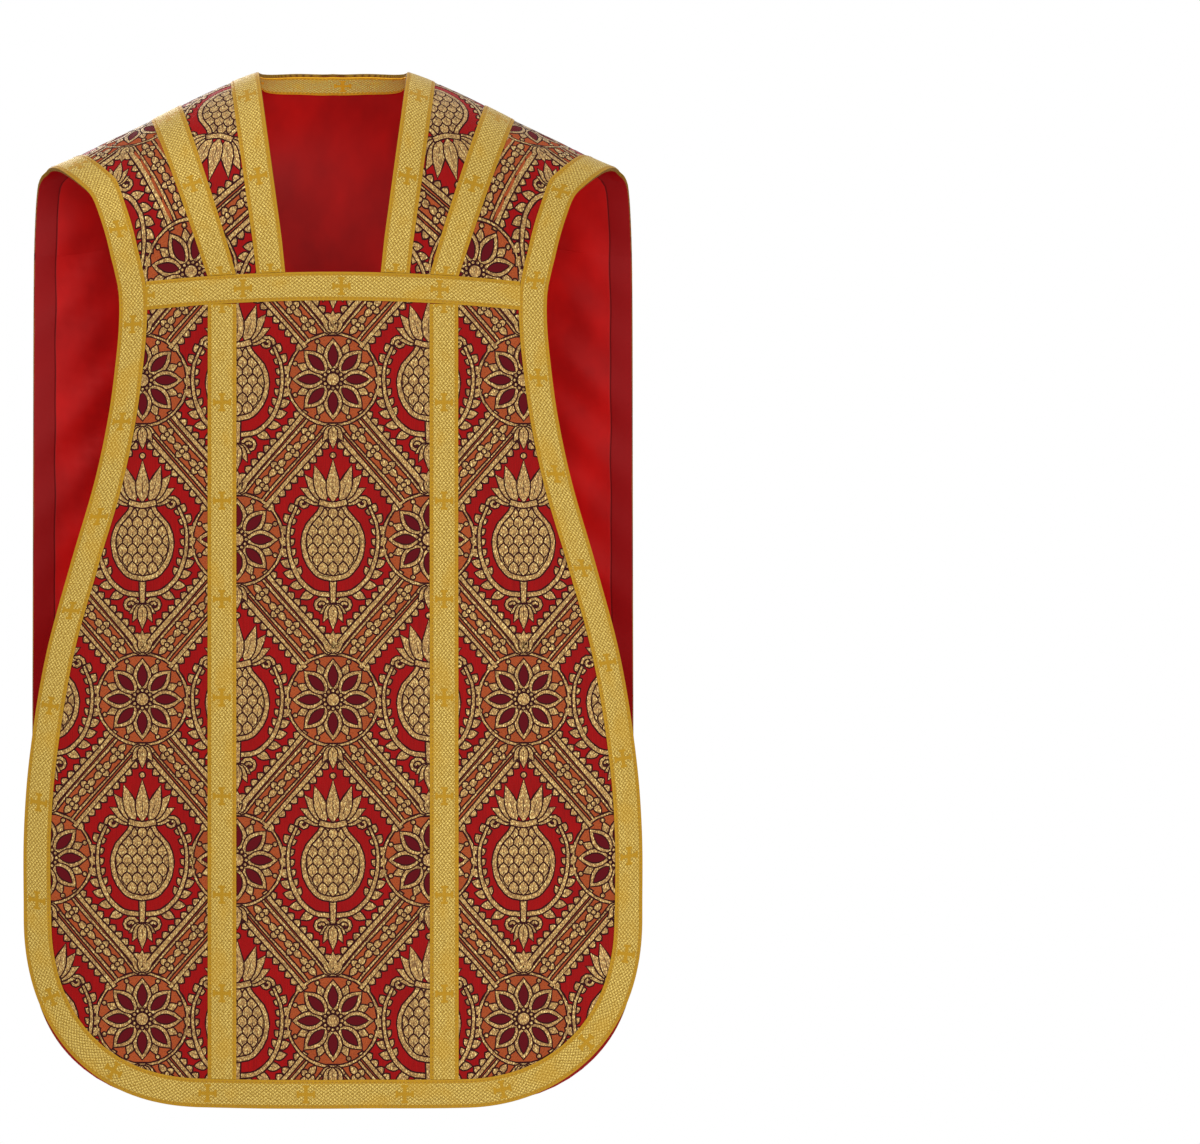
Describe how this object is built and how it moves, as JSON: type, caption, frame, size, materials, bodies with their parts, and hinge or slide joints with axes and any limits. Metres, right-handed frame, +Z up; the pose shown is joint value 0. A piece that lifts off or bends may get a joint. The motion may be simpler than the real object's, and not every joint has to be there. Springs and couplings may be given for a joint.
{
  "type": "roman chasuble",
  "caption": "Roman chasuble as worn, hollow: a long back with shoulder straps joined to a narrow-waisted front, edged and banded in woven braid, with a trapezoid neck.",
  "frame": {"origin": "midway between the shoulder lines, level with where they meet the neck: where the wearer's shoulders hold it", "axes": "+Z up, the front faces -Y, the wearer's left is +X"},
  "size_m": [0.663, 0.2222, 1.138],
  "materials": {
    "brocade": "satin-ground brocade with a metallic figure",
    "lining": "satin",
    "braid": "woven metallic braid"
  },
  "bodies": {
    "root": {"back_panel": "brocade", "front_panel": "brocade", "back_lining": "lining", "chest_band": "braid", "front_band_left": "braid", "front_band_right": "braid", "neck_band_left": "braid", "neck_band_right": "braid", "neck_band_back": "braid", "neck_facing_back": "braid", "shoulder_band_left": "braid", "shoulder_band_right": "braid", "back_band_left": "braid", "back_band_right": "braid", "edging_front": "braid", "edging_back": "braid"}
  },
  "joints": []
}
